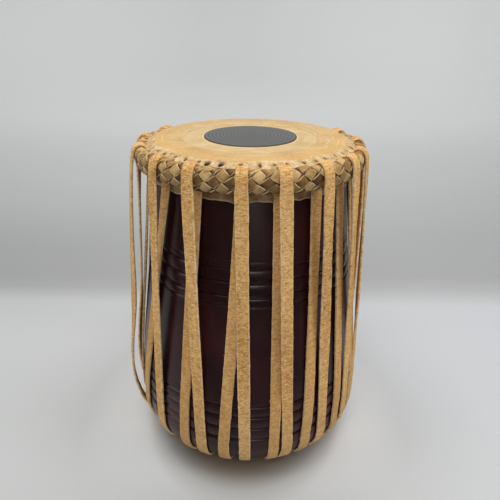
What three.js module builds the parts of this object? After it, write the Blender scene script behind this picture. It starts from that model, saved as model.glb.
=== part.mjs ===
// Tabla: a turned wooden shell whose skin head is laced down by one long hide strap.
// Millimetres, +Z up. The origin is on the floor under the drum's centre, and the front faces -Y.
import * as THREE from 'three';

// Shell
const SHELL_HEIGHT = 270;
const RIM_RADIUS = 80.6;
const BELLY_RADIUS = 105;
const SHOULDER_PULL = 5.4;
const SHOULDER_DROP = 83;
const BELLY_DROP = 228;
const BELLY_PULL = 43;
const CORNER_WIDTH = 21;
const CORNER_HEIGHT = 27;
const RIM_ROUND = 3;
const RIM_WALL = 13;
const CAVITY_DEPTH = 190;
const CAVITY_BELLY = 76;
const MIDDLE_GROOVES = [81.5, 93, 104.6];
const LOWER_GROOVES = [203, 214, 226, 238];
const GROOVE_WIDTH = 2.4;
const GROOVE_DEPTH = 0.9;

// Skins and black centre
const SKIN = 0.5;
const LINING_INNER = 62;
const LINING_HEM = 9;
const COLLAR_INNER = 56;
const COLLAR_HEM = 12;
const HEAD_HEM = 29;
const PASTE_RADIUS = 40;
const PASTE_EDGE = 0.8;
const PASTE_LAYERS = 5;
const PASTE_LAYER_RISE = 0.35;
const PASTE_LAYER_STEP = 5;

// Woven ring round the head
const WEAVE_CENTRE_DROP = 12.7;
const WEAVE_RISE = 1.75;
const WEAVE_HIGH_SIDE = -59;
const WEAVE_HALF_WIDTH = 3.9;
const WEAVE_HALF_HEIGHT = 7.7;
const WEAVE_ROWS = 8;
const WEAVE_PITCHES = 48;
const STRIP_CROWN = 1.3;
const STRIP_SHOULDER = 0.9;
const STRIP_TUCK = 0.4;
const STRIP_GAP = 0.8;
const STRIP_EDGE_SHARE = 0.45;

// Base ring and lacing strap
const RING_RADIUS = 46;
const RING_WIDTH = 11;
const RING_HEIGHT = 9;
const RING_ROUND = 3.5;
const STRAP_WIDTH = 10;
const STRAP_THICK = 2.4;

// Where the strap crosses the woven ring, and where its two legs turn under the shell, in degrees
// from the front, with plus to the right: [top, foot of the leg behind, foot of the leg outside].
const LOOPS = [
  [-73.5, -83, -74.5], [-46, -62.5, -48.5], [-25.5, -33, -23.5], [-3, -12, -2.2],
  [15.5, 11.3, 20], [35, 28.9, 37.6], [54, 47, 56], [70.5, 66.5, 76],
  [94.5, 89, 100], [118.5, 113, 124], [142.5, 137, 148], [166.5, 161, 172],
  [190.5, 185, 196], [214.5, 209, 220], [238.5, 233, 244], [262.5, 257, 268],
];

// Shared fit and smoothness
const FIT = 0.3;
const ROUND_SEGMENTS = 40;
const CORNER_STEPS = 4;
const SIDE_STEPS = 10;
const RIM_STEPS = 2;
const TURN_STEPS = 3;
const OVER_STEPS = 8;
const GAP_SPOTS = 1;

// Heights and radii worked out from the values above
const RING_BOTTOM = STRAP_THICK + FIT;
const RING_TOP = RING_BOTTOM + RING_HEIGHT;
const SHELL_BOTTOM = RING_TOP + FIT + STRAP_THICK + FIT;
const SHELL_TOP = SHELL_BOTTOM + SHELL_HEIGHT;
const HEAD_TOP = SHELL_TOP + 3 * (SKIN + FIT);
const CORNER_RADIUS = BELLY_RADIUS - CORNER_WIDTH;
const CORNER_TOP = SHELL_BOTTOM + CORNER_HEIGHT;
const STRAP_OFFSET = FIT + STRAP_THICK / 2;
const WEAVE_Z = HEAD_TOP - WEAVE_CENTRE_DROP;
const SKIRT_RADIUS = sideRadius(SHELL_TOP - COLLAR_HEM) + 3 * (SKIN + FIT);
const LEG_RADIUS = SKIRT_RADIUS + STRAP_OFFSET;
const WEAVE_RADIUS = LEG_RADIUS + bowed(LEG_RADIUS) + STRAP_OFFSET + STRIP_CROWN + WEAVE_HALF_WIDTH;

const COLORS = {
  lacquer: { color: 0x3a0d14, roughness: 0.3, metalness: 0 },
  lining: { color: 0xb08a58, roughness: 0.85, metalness: 0 },
  headSkin: { color: 0xd9bd8c, roughness: 0.7, metalness: 0 },
  collar: { color: 0xc79a5c, roughness: 0.7, metalness: 0 },
  paste: { color: 0x2b2d33, roughness: 0.45, metalness: 0 },
  weave: { color: 0x94794c, roughness: 0.75, metalness: 0 },
  rawhide: { color: 0x8a6b42, roughness: 0.85, metalness: 0 },
  strap: { color: 0xcf9c5e, roughness: 0.9, metalness: 0 },
};

// How far a flat strap stands off the middle of a round wall that it lies inside.
function bowed(radius) {
  return radius - Math.sqrt(radius ** 2 - (STRAP_WIDTH / 2) ** 2);
}

// The shell's side above its straight belly, as a curve from the rim downwards.
function sideCurve() {
  return new THREE.CubicBezierCurve(
    new THREE.Vector2(RIM_RADIUS, SHELL_TOP),
    new THREE.Vector2(RIM_RADIUS + SHOULDER_PULL, SHELL_TOP - SHOULDER_DROP),
    new THREE.Vector2(BELLY_RADIUS, HEAD_TOP - BELLY_DROP + BELLY_PULL),
    new THREE.Vector2(BELLY_RADIUS, HEAD_TOP - BELLY_DROP),
  );
}

function sideRadius(z) {
  const curve = sideCurve();
  let high = 0;
  let low = 1;
  for (let step = 0; step < 40; step += 1) {
    const middle = (high + low) / 2;
    if (curve.getPoint(middle).y > z) high = middle;
    else low = middle;
  }
  return curve.getPoint(low).x;
}

// A point on an ellipse at the place where its outward normal has the given angle.
function ellipsePoint(centre, halfWidth, halfHeight, normal) {
  const x = halfWidth ** 2 * Math.cos(normal);
  const y = halfHeight ** 2 * Math.sin(normal);
  const length = Math.hypot(halfWidth * Math.cos(normal), halfHeight * Math.sin(normal));
  return new THREE.Vector2(centre.x + x / length, centre.y + y / length);
}

function ellipseArc(centre, halfWidth, halfHeight, from, to, steps) {
  const points = [];
  for (let step = 0; step <= steps; step += 1) {
    points.push(ellipsePoint(centre, halfWidth, halfHeight, from + ((to - from) * step) / steps));
  }
  return points;
}

function point(radius, z) {
  return new THREE.Vector2(radius, z);
}

// Turns a profile of (radius, height) points round the drum's axis.
function revolve(profile) {
  return new THREE.LatheGeometry(profile, ROUND_SEGMENTS).rotateX(Math.PI / 2);
}

function mesh(name, geometry, finish) {
  const part = new THREE.Mesh(geometry, new THREE.MeshStandardMaterial(finish));
  part.name = name;
  return part;
}

function polar(radius, degrees, z) {
  const angle = THREE.MathUtils.degToRad(degrees);
  return new THREE.Vector3(radius * Math.sin(angle), -radius * Math.cos(angle), z);
}

// A body from its triangles, listed corner by corner.
function facets(corners) {
  const geometry = new THREE.BufferGeometry();
  const values = corners.flatMap((corner) => corner.toArray());
  geometry.setAttribute('position', new THREE.Float32BufferAttribute(values, 3));
  geometry.computeVertexNormals();
  return geometry;
}

// Joins rings of corner points into one body with flat ends.
function skinRings(rings) {
  const corners = [];
  const sides = rings[0].length;
  for (let ring = 0; ring < rings.length - 1; ring += 1) {
    for (let side = 0; side < sides; side += 1) {
      const next = (side + 1) % sides;
      const [a, b] = [rings[ring][side], rings[ring][next]];
      const [c, d] = [rings[ring + 1][side], rings[ring + 1][next]];
      corners.push(a, b, d, a, d, c);
    }
  }
  const [first, last] = [rings[0], rings.at(-1)];
  for (let side = 1; side < sides - 1; side += 1) {
    corners.push(first[0], first[side + 1], first[side]);
    corners.push(last[0], last[side], last[side + 1]);
  }
  return facets(corners);
}

// A turned V-groove in the shell's side, listed upwards.
function groove(drop) {
  const z = HEAD_TOP - drop;
  const half = GROOVE_WIDTH / 2;
  return [
    point(sideRadius(z - half), z - half),
    point(sideRadius(z) - GROOVE_DEPTH, z),
    point(sideRadius(z + half), z + half),
  ];
}

function shellOutside() {
  const grooves = [...LOWER_GROOVES, ...MIDDLE_GROOVES].sort((a, b) => b - a);
  const cornerCentre = point(CORNER_RADIUS, CORNER_TOP);
  const corner = ellipseArc(cornerCentre, CORNER_WIDTH, CORNER_HEIGHT, -Math.PI / 2, 0, CORNER_STEPS);
  const side = sideCurve().getPoints(SIDE_STEPS).reverse().slice(0, -1);
  const plain = side.filter((spot) => spot.y < SHELL_TOP - RIM_ROUND
    && grooves.every((drop) => Math.abs(HEAD_TOP - drop - spot.y) > GROOVE_WIDTH));
  const wall = [...plain, ...grooves.flatMap(groove)].sort((a, b) => a.y - b.y);
  return [...corner, ...wall];
}

function rimArc(offset) {
  const bend = SHELL_TOP - RIM_ROUND;
  const centre = point(sideRadius(bend) - RIM_ROUND, bend);
  const reach = RIM_ROUND + offset;
  return ellipseArc(centre, reach, reach, 0, Math.PI / 2, RIM_STEPS);
}

function shell() {
  const mouth = RIM_RADIUS - RIM_WALL;
  const floor = SHELL_TOP - CAVITY_DEPTH;
  const cavityMiddle = floor + CAVITY_DEPTH * 0.35;
  const profile = [
    point(0, SHELL_BOTTOM),
    ...shellOutside(),
    ...rimArc(0),
    point(mouth, SHELL_TOP),
    point(CAVITY_BELLY, cavityMiddle),
    ...ellipseArc(point(0, cavityMiddle), CAVITY_BELLY, cavityMiddle - floor, -Math.PI / 8, -Math.PI / 2, 3),
  ];
  return mesh('shell', revolve(profile), COLORS.lacquer);
}

// One skin drawn over the rim: flat from its inner edge, round the bend and down to its hem.
function skinProfile(layer, innerRadius, hem) {
  const under = FIT + layer * (SKIN + FIT);
  const hemZ = SHELL_TOP - hem;
  const face = (offset) => [
    point(sideRadius(hemZ) + offset, hemZ),
    ...rimArc(offset),
    point(innerRadius, SHELL_TOP + offset),
  ];
  return [...face(under + SKIN), ...face(under).reverse()];
}

// The lining and the collar are open in the middle, so their profiles close on themselves.
function openSkin(name, layer, innerRadius, hem, finish) {
  const profile = skinProfile(layer, innerRadius, hem);
  return mesh(name, revolve([...profile, profile[0].clone()]), finish);
}

function headSkin() {
  const profile = skinProfile(1, 0, HEAD_HEM);
  const half = profile.length / 2;
  return mesh('head_skin', revolve([...profile.slice(half), ...profile.slice(0, half)]), COLORS.headSkin);
}

function skins() {
  return [
    openSkin('lining_skin', 0, LINING_INNER, LINING_HEM, COLORS.lining),
    headSkin(),
    openSkin('collar_skin', 2, COLLAR_INNER, COLLAR_HEM, COLORS.collar),
  ];
}

// The black paste is rubbed on in thin discs, each smaller than the one below it.
function paste() {
  const seat = SHELL_TOP + 2 * (SKIN + FIT);
  const profile = [point(0, seat), point(PASTE_RADIUS, seat)];
  for (let layer = 0; layer < PASTE_LAYERS; layer += 1) {
    const radius = PASTE_RADIUS - layer * PASTE_LAYER_STEP;
    const top = seat + PASTE_EDGE + layer * PASTE_LAYER_RISE;
    profile.push(point(radius, top), point(radius - PASTE_LAYER_STEP, top));
  }
  profile.push(point(0, profile.at(-1).y));
  return mesh('black_centre', revolve(profile), COLORS.paste);
}

// The woven ring's middle height at an angle. It has been hammered further down on one side.
function weaveHeight(degrees) {
  return WEAVE_Z + WEAVE_RISE * Math.cos(THREE.MathUtils.degToRad(degrees - WEAVE_HIGH_SIDE));
}

// Normals of the woven ring's section at even steps of length round it.
function sectionNormals(count) {
  const fine = 1440;
  const spots = ellipseArc(point(0, 0), WEAVE_HALF_WIDTH, WEAVE_HALF_HEIGHT, 0, 2 * Math.PI, fine);
  const lengths = [0];
  for (let step = 1; step <= fine; step += 1) {
    lengths.push(lengths[step - 1] + spots[step].distanceTo(spots[step - 1]));
  }
  const total = lengths[fine];
  const normalAt = (length) => (lengths.findIndex((so_far) => so_far >= length) / fine) * 2 * Math.PI;
  return (row) => normalAt((THREE.MathUtils.euclideanModulo(row, count) / count) * total);
}

// Whether a leg of the strap runs behind the woven ring at this angle, or within a spare angle of it.
function strapPasses(turn, spare) {
  const half = THREE.MathUtils.radToDeg(Math.atan((STRAP_WIDTH / 2 + FIT) / LEG_RADIUS)) + spare;
  return LOOPS.some(([top]) => Math.abs(THREE.MathUtils.euclideanModulo(turn - top + 180, 360) - 180) < half);
}

// The woven ring: thongs of two hands go over and under each other, so that every crossing shows
// a raised lozenge that dives at both ends below the sides of its neighbours. The ring swells
// inwards to the skins except where a leg of the strap presses it back.
function wovenRing() {
  const columns = 2 * WEAVE_PITCHES;
  const normals = sectionNormals(WEAVE_ROWS);
  const corners = [];
  const at = (row, column, lift) => {
    const normal = normals(row);
    const turn = (THREE.MathUtils.euclideanModulo(column, columns) / columns) * 360;
    const centre = point(WEAVE_RADIUS, weaveHeight(turn));
    const spot = ellipsePoint(centre, WEAVE_HALF_WIDTH, WEAVE_HALF_HEIGHT, normal);
    const inward = Math.max(WEAVE_RADIUS - spot.x, 0) / WEAVE_HALF_WIDTH;
    const swell = strapPasses(turn, 360 / columns) ? 0 : inward * (STRAP_THICK + FIT);
    return polar(spot.x - swell + lift * Math.cos(normal), turn, spot.y + lift * Math.sin(normal));
  };
  const side = (row, column, up, right) => {
    const dives = (up === right) === (row % 2 === 0);
    const lift = dives ? -STRIP_TUCK : STRIP_SHOULDER;
    return at(row + up * STRIP_EDGE_SHARE, column + right * STRIP_EDGE_SHARE, lift);
  };
  const gap = (row, column) => at(row, column, -STRIP_GAP);
  for (let row = 0; row < WEAVE_ROWS; row += 1) {
    for (let column = row % 2; column < columns; column += 2) {
      const crown = at(row, column, STRIP_CROWN);
      const rim = [
        gap(row, column + 1), side(row, column, 1, 1), gap(row + 1, column), side(row, column, 1, -1),
        gap(row, column - 1), side(row, column, -1, -1), gap(row - 1, column), side(row, column, -1, 1),
      ];
      rim.forEach((corner, step) => corners.push(crown, corner, rim[(step + 1) % rim.length]));
      const upRight = side(row + 1, column + 1, -1, -1);
      const upLeft = side(row + 1, column - 1, -1, 1);
      corners.push(rim[0], upRight, rim[1], upRight, rim[2], rim[1]);
      corners.push(rim[2], upLeft, rim[3], upLeft, rim[4], rim[3]);
    }
  }
  return mesh('woven_ring', facets(corners), COLORS.weave);
}

function baseRing() {
  const half = RING_WIDTH / 2 - RING_ROUND;
  const low = RING_BOTTOM + RING_ROUND;
  const high = RING_TOP - RING_ROUND;
  const quarter = Math.PI / 2;
  const corner = (x, z, from) => ellipseArc(point(x, z), RING_ROUND, RING_ROUND, from, from + quarter, 2);
  const profile = [
    ...corner(RING_RADIUS + half, low, -quarter),
    ...corner(RING_RADIUS + half, high, 0),
    ...corner(RING_RADIUS - half, high, quarter),
    ...corner(RING_RADIUS - half, low, 2 * quarter),
  ];
  profile.push(profile[0].clone());
  return mesh('base_ring', revolve(profile), COLORS.rawhide);
}

// Drops each point that a strap pulled tight over the others would not touch.
function pullTight(points) {
  const route = [];
  for (const next of points) {
    while (route.length > 1) {
      const [a, b] = route.slice(-2);
      const turn = (b.x - a.x) * (next.y - b.y) - (b.y - a.y) * (next.x - b.x);
      if (turn > 1e-9) break;
      route.pop();
    }
    route.push(next);
  }
  return route;
}

// The shell's corner and side, as the middle of a strap lying on them meets them, listed upwards.
function shellLie() {
  const centre = point(CORNER_RADIUS, CORNER_TOP);
  const wide = CORNER_WIDTH + STRAP_OFFSET;
  const high = CORNER_HEIGHT + STRAP_OFFSET;
  const corner = ellipseArc(centre, wide, high, -Math.PI / 2, 0, CORNER_STEPS);
  const side = sideCurve().getPoints(SIDE_STEPS).reverse().slice(0, -2);
  return [...corner, ...side.map((spot) => point(spot.x + STRAP_OFFSET, spot.y))];
}

// Both legs of a loop in the plane through the drum's axis, each from the base ring upwards.
function legRoutes(top) {
  const half = RING_WIDTH / 2 - RING_ROUND;
  const innerSide = RING_RADIUS - half;
  const outerSide = RING_RADIUS + half;
  const weave = point(WEAVE_RADIUS, weaveHeight(top));
  const overWidth = WEAVE_RADIUS - LEG_RADIUS;
  const overHeight = WEAVE_HALF_HEIGHT + STRIP_CROWN + STRAP_OFFSET;
  const over = ellipseArc(weave, overWidth, overHeight, 0, Math.PI, OVER_STEPS);
  const under = RING_BOTTOM - STRAP_OFFSET;
  const above = RING_TOP + STRAP_OFFSET;
  const outerTurn = ellipseArc(point(outerSide, under + RING_ROUND + STRAP_OFFSET),
    RING_ROUND + STRAP_OFFSET, RING_ROUND + STRAP_OFFSET, -Math.PI / 2, 0, 6);
  const lie = shellLie();
  const outer = pullTight([point(innerSide, under), ...outerTurn, ...lie, ...over.slice(0, 1)]);
  const inner = pullTight([point(innerSide, above), ...lie, over.at(-1)]);
  return { outer, inner, over, under, above, innerSide };
}

// The turn round the base ring's inside, from the leg below the ring to the leg above it.
function ringTurn({ under, above, innerSide }) {
  const reach = RING_ROUND + STRAP_OFFSET;
  const wallRadius = RING_RADIUS - RING_WIDTH / 2;
  const inside = reach + bowed(wallRadius) + FIT / 2;
  const quarter = Math.PI / 2;
  return [
    ...ellipseArc(point(innerSide, under + reach), inside, reach, 3 * quarter, 2 * quarter, TURN_STEPS),
    ...ellipseArc(point(innerSide, above - reach), inside, reach, 2 * quarter, quarter, TURN_STEPS),
  ];
}

function blend(from, to, share) {
  return from + (to - from) * THREE.MathUtils.clamp(share, 0, 1);
}

// Every stop of the strap's middle line: radius, height and angle round the drum.
function strapStops() {
  const ringEdge = RING_RADIUS + RING_WIDTH / 2;
  const lap = LOOPS.length;
  const stops = [];
  const add = (spots, angle) => spots.forEach((spot) => stops.push({ spot, angle: angle(spot) }));
  for (let loop = 0; loop < lap; loop += 1) {
    const [top, innerFoot, outerFoot] = LOOPS[loop];
    const routes = legRoutes(top);
    const turn = ringTurn(routes);
    const before = LOOPS.at(loop - 1)[2] - (loop === 0 ? 360 : 0);
    const after = LOOPS[(loop + 1) % lap][1] + (loop === lap - 1 ? 360 : 0);
    const arrive = (before + innerFoot) / 2;
    const leave = (outerFoot + after) / 2;
    const rise = (spot) => (spot.y - CORNER_TOP) / (WEAVE_Z - CORNER_TOP);
    const leg = (ringAngle, foot) => (spot) => (
      spot.x < ringEdge + STRAP_THICK ? ringAngle : blend(foot, top, rise(spot)));
    if (loop === 0) add(turn.slice(TURN_STEPS + 1, -1), () => arrive);
    add(routes.inner, leg(arrive, innerFoot));
    add(routes.over.slice(1, -1).reverse(), () => top);
    add([...routes.outer].reverse(), leg(leave, outerFoot));
    add(loop === lap - 1 ? turn.slice(1, TURN_STEPS + 1) : turn.slice(1, -1), () => leave);
  }
  return stops;
}

function strapRings() {
  const stops = strapStops().map(({ spot, angle }) => (
    { middle: polar(spot.x, angle, spot.y), angle, spot }));
  const last = stops.length - 1;
  return stops.map(({ middle, angle, spot }, step) => {
    const before = stops[Math.max(step - 1, 0)];
    const after = stops[Math.min(step + 1, last)];
    const outOf = (step < last ? after.spot.clone().sub(spot) : spot.clone().sub(before.spot)).normalize();
    const into = (step > 0 ? spot.clone().sub(before.spot) : outOf.clone()).normalize();
    const tangent = into.add(outOf).normalize();
    const out = polar(-tangent.y, angle, tangent.x);
    const along = after.middle.clone().sub(before.middle).normalize();
    const across = along.clone().cross(out).normalize().multiplyScalar(STRAP_WIDTH / 2);
    const lift = out.multiplyScalar(STRAP_THICK / 2 / tangent.dot(outOf));
    const outside = middle.clone().add(lift);
    const inside = middle.clone().sub(lift);
    const ring = [
      outside.clone().add(across),
      inside.clone().add(across),
      inside.clone().sub(across),
      outside.clone().sub(across),
    ];
    return ring.map((corner) => corner.setZ(Math.max(corner.z, 0)));
  });
}

// Even points on the strap's surface, each with how far along the strap it lies.
function surfaceSpots(rings) {
  const spots = [];
  let along = 0;
  for (let step = 0; step < rings.length - 1; step += 1) {
    const length = rings[step][0].distanceTo(rings[step + 1][0]);
    const cuts = Math.ceil(length / GAP_SPOTS);
    for (let cut = 0; cut < cuts; cut += 1) {
      const share = cut / cuts;
      const section = rings[step].map((corner, side) => corner.clone().lerp(rings[step + 1][side], share));
      section.forEach((corner, side) => {
        const next = section[(side + 1) % section.length];
        const parts = Math.ceil(corner.distanceTo(next) / GAP_SPOTS);
        for (let part = 0; part < parts; part += 1) {
          spots.push({ spot: corner.clone().lerp(next, part / parts), along: along + length * share });
        }
      });
    }
    along += length;
  }
  return { spots, length: along };
}

// The strap's length and its least gap to itself, between points at least three widths apart along it.
function measureStrap(rings) {
  const { spots, length } = surfaceSpots(rings);
  const cell = 3 * GAP_SPOTS;
  const key = (x, y, z) => (x * 4096 + y) * 4096 + z;
  const cells = new Map();
  let least = Infinity;
  for (const { spot, along } of spots) {
    const [x, y, z] = spot.toArray().map((value) => Math.floor(value / cell));
    for (let near = 0; near < 27; near += 1) {
      const place = key(x + (near % 3) - 1, y + (Math.floor(near / 3) % 3) - 1, z + Math.floor(near / 9) - 1);
      for (const other of cells.get(place) ?? []) {
        if (along - other.along > 3 * STRAP_WIDTH) least = Math.min(least, spot.distanceTo(other.spot));
      }
    }
    if (!cells.has(key(x, y, z))) cells.set(key(x, y, z), []);
    cells.get(key(x, y, z)).push({ spot, along });
  }
  return { length, least };
}

function lacingStrap() {
  const rings = strapRings();
  const { length, least } = measureStrap(rings);
  console.log(`lacing strap: ${length.toFixed(0)} mm long, least gap to itself ${least.toFixed(2)} mm`);
  return mesh('lacing_strap', skinRings(rings), COLORS.strap);
}

const tabla = new THREE.Group();
tabla.add(shell(), ...skins(), paste(), wovenRing(), baseRing(), lacingStrap());

export default tabla;
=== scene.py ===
"""A tabla drum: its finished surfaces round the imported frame. Metres, +Z up, the front faces -Y."""
import math

import bmesh
import bpy
import numpy as np
from mathutils import Matrix, Quaternion, Vector


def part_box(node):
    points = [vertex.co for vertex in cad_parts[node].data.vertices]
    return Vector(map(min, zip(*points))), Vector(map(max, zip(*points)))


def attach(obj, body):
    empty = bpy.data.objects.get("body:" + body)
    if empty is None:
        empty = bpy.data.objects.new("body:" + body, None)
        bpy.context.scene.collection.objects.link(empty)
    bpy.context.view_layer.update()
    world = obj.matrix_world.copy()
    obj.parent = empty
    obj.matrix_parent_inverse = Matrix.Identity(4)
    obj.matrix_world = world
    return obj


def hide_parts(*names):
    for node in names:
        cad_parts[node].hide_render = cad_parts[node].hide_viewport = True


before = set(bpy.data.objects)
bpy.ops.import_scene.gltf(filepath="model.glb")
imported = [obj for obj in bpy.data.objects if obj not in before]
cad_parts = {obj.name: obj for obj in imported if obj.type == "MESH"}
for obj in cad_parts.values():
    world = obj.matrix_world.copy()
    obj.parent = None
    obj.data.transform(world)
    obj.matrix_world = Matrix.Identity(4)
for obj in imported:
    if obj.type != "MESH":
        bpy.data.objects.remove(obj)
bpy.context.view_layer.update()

MM = 0.001
TURN = 2 * math.pi
BLACK = (0, 0, 0)
WHITE = (1, 1, 1)

# Places read from the frame
SHELL_LOW, SHELL_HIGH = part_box("shell")
SHELL_BOTTOM = SHELL_LOW[2]
SHELL_TOP = SHELL_HIGH[2]
BELLY = SHELL_HIGH[0]
HEAD_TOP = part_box("collar_skin")[1][2]
HEAD_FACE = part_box("head_skin")[1][2]
PASTE_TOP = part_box("black_centre")[1][2]
PASTE_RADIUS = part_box("black_centre")[1][0] * 0.987
RING_LOW, RING_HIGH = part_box("base_ring")

# The shell's turned outline
RIM_RADIUS = 80.6 * MM
SHOULDER_PULL = 5.4 * MM
SHOULDER_DROP = 83 * MM
BELLY_DROP = 228 * MM
BELLY_PULL = 43 * MM
CORNER_WIDTH = 21 * MM
CORNER_HEIGHT = 27 * MM
CORNER_TOP = SHELL_BOTTOM + CORNER_HEIGHT
RIM_ROUND = 3 * MM
RIM_WALL = 13 * MM
CAVITY_DEPTH = 190 * MM
CAVITY_BELLY = 76 * MM

# The shell's grooves: drops below the head in millimetres, with each kind's depth and spread
DEEP_GROOVES = [81.5, 93, 104.6, 203, 214, 226, 238]
FINE_GROOVES = [76, 113]
GROOVES = [(drop, 0.9 * MM, 1.0) for drop in DEEP_GROOVES] + [(drop, 0.35 * MM, 0.5) for drop in FINE_GROOVES]
BEAD_BANDS = [DEEP_GROOVES[:3] + FINE_GROOVES[1:], DEEP_GROOVES[3:]]
BEAD_DEPTH = 0.8 * MM

# Skins
SKIN = 0.5 * MM
FIT = 0.3 * MM
HEAD_FLAT = 76 * MM
LINING_INNER = 62 * MM
LINING_HEM = 9 * MM
COLLAR_INNER = 56 * MM
COLLAR_HEM = 12 * MM
HEM_DROP = 29.6 * MM
HEM_OFFSET = 1.7 * MM
HEM_THICK = 0.9 * MM
APRON_START = 78 * MM
APRON_WIDTH = 10.4 * MM
APRON_END = 88.4 * MM
APRON_DROP = 4.9 * MM
HOLE_RADIUS = 84.5 * MM
HOLE_DEPTH = 2.4 * MM

# The two large holes: half width, half length and radius, then each one's number and shift in pitches
BIG_HOLE = (2.7 * MM, 2.6 * MM, 84.7 * MM)
BIG_HOLES = [(45, -0.28), (46, -0.36)]

# Black centre
PASTE_BACK = 2.4 * MM
PASTE_EDGE = 0.9 * MM
PASTE_LAYERS = 13
PASTE_RIDGE = 0.09 * MM

# Woven ring
WEAVE_Z = HEAD_TOP - 12.7 * MM
WEAVE_RISE = 0.9 * MM
WEAVE_HIGH_SIDE = math.radians(-6)
WEAVE_BACK_DROP = 2.8 * MM
WEAVE_HALF_WIDTH = 3.9 * MM
WEAVE_HALF_HEIGHT = 7.7 * MM
WEAVE_CROWN = 1.3 * MM
WEAVE_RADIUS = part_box("woven_ring")[1][0] - WEAVE_HALF_WIDTH - WEAVE_CROWN
WEAVE_ROWS = 8
WEAVE_PITCHES = 48
WEAVE_ADVANCE = 4
WEAVE_PITCH = TURN / WEAVE_PITCHES
WEAVE_WINDS = WEAVE_PITCHES // WEAVE_ADVANCE
THONG_WIDTH = 6.8 * MM
THONG_THICK = 1.15 * MM
THONG_LIFT = 0.95 * MM
TIE_THICK = 1.1 * MM
TIE_WIDTHS = [5.4 * MM, 5.2 * MM, 3.2 * MM]

# Lacing strap and base ring
STRAP_WIDTH = 10 * MM
STRAP_THICK = 2.4 * MM
STRAP_STEP = 2.2 * MM
STRAP_OFFSET = FIT + STRAP_THICK / 2
STRAP_FIBRES = 2600
STRAP_SWAY = math.radians(8)
TURN_BULGE = 0.46 * MM
LEG_RADIUS = WEAVE_RADIUS - WEAVE_HALF_WIDTH - WEAVE_CROWN - STRAP_OFFSET - 0.15 * MM
RING_INNER = 40.5 * MM
RING_RADIUS = (RING_HIGH[0] + RING_INNER) / 2
RING_ROUND = 3.5 * MM
RING_WINDS = 44
RING_GROOVE = 0.45 * MM

# The strap's loops in degrees from the front, plus to the right:
# [over the woven ring, foot of the leg behind, foot of the leg outside]
LOOPS = [
    [-73.5, -83, -74.5], [-46.4, -65, -47.6], [-26.4, -31.4, -22], [-3.3, -11, -1],
    [14.7, 12.6, 19.2], [35, 28.9, 38.6], [54, 49, 58], [70.5, 66, 72],
    [94.5, 89, 100], [118.5, 113, 124], [142.5, 137, 148], [166.5, 161, 172],
    [190.5, 185, 196], [214.5, 209, 220], [238.5, 233, 244], [262.5, 257, 268],
]
LOOP_TOPS = np.radians(np.array(LOOPS)[:, 0])

# How far each loop's outer leg hangs off its tightest line, in the middle and at the belly, and its twist
SLACK = np.array([4.4, 0.9, 0.4, 0.7, 0.4, 0.6, 0.9, 0.6, 0.5, 0.6, 0.8, 0.5, 0.9, 0.4, 0.8, 1.4]) * MM
BELLY_SLACK = np.array([6.8, 0, 0, 0, 0, 0, 0, 0, 0, 0, 0, 0, 0, 0, 0, 5]) * MM
TWIST = np.radians([-12, 0, 0, 0, 0, 0, -6, -12, -12, 0, 4, 0, -5, 0, 8, -14])


# Meshes

def add_object(name, data):
    made = bpy.data.objects.new(name, data)
    bpy.context.collection.objects.link(made)
    return made


def mesh_object(name, points, faces, material, merge=False):
    mesh = bpy.data.meshes.new(name)
    mesh.from_pydata(np.reshape(points, (-1, 3)).tolist(), [], faces)
    if merge:
        work = bmesh.new()
        work.from_mesh(mesh)
        bmesh.ops.remove_doubles(work, verts=work.verts, dist=1e-6)
        work.to_mesh(mesh)
        work.free()
    mesh.polygons.foreach_set("use_smooth", [True] * len(mesh.polygons))
    mesh.materials.append(material)
    return add_object(name, mesh)


def grid_faces(rows, columns, wrap_rows=False):
    """Quads of a grid listed row by row, whose columns close on themselves."""
    faces = []
    for row in range(rows if wrap_rows else rows - 1):
        up = (row + 1) % rows
        for column in range(columns):
            right = (column + 1) % columns
            faces.append((row * columns + column, row * columns + right,
                          up * columns + right, up * columns + column))
    return faces


def tube_faces(rows, columns):
    """Faces of a tube of rings, with both of its ends closed."""
    return [*grid_faces(rows, columns), tuple(range(columns))[::-1],
            tuple((rows - 1) * columns + k for k in range(columns))]


def unit(vectors):
    return vectors / np.linalg.norm(vectors, axis=1, keepdims=True)


def path_lengths(points):
    """Each point's distance along its path."""
    return np.concatenate([[0], np.cumsum(np.linalg.norm(np.diff(points, axis=0), axis=1))])


def polar(radius, angle, z):
    """Points at an angle from the front, plus to the right."""
    radius, angle, z = np.broadcast_arrays(radius, angle, z)
    return np.stack([radius * np.sin(angle), -radius * np.cos(angle), z], axis=-1)


def revolve(name, profile, segments, material, closed=False, shape=None):
    """A profile of (radius, height) points turned round the drum's axis. shape may move its points."""
    profile = np.array(profile)
    angle = np.arange(segments) * TURN / segments
    radius, angle, z = np.broadcast_arrays(profile[:, :1], angle, profile[:, 1:])
    if shape:
        radius, z = shape(radius, angle, z)
    points = polar(radius, angle, z)
    faces = grid_faces(len(profile), segments, wrap_rows=closed)
    return mesh_object(name, points, faces, material, merge=not closed)


def float_attribute(piece, name, values):
    layer = piece.data.attributes.new(name, "FLOAT", "POINT")
    layer.data.foreach_set("value", np.asarray(values, dtype=np.float32))


def lay_attribute(piece, along, across, up):
    """Each point's place on its strap or thong: along it, across it and out of it."""
    lay = np.stack(np.broadcast_arrays(along, across, up), axis=-1)
    layer = piece.data.attributes.new("lay", "FLOAT_VECTOR", "POINT")
    layer.data.foreach_set("vector", lay.astype(np.float32).ravel())


def ripple(seed, lowest, highest, periodic=True):
    """A smooth random function of an angle or a length, mostly between -1 and 1."""
    draw = np.random.default_rng(seed)
    count = 7
    steps = draw.integers(lowest, highest + 1, count) if periodic else draw.uniform(lowest, highest, count)
    phases = draw.uniform(0, TURN, count)
    weights = draw.uniform(0.4, 1, count)
    weights = weights / weights.sum() * 1.7
    return lambda x: sum(w * np.sin(k * x + p) for k, p, w in zip(steps, phases, weights))


# Outlines

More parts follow.
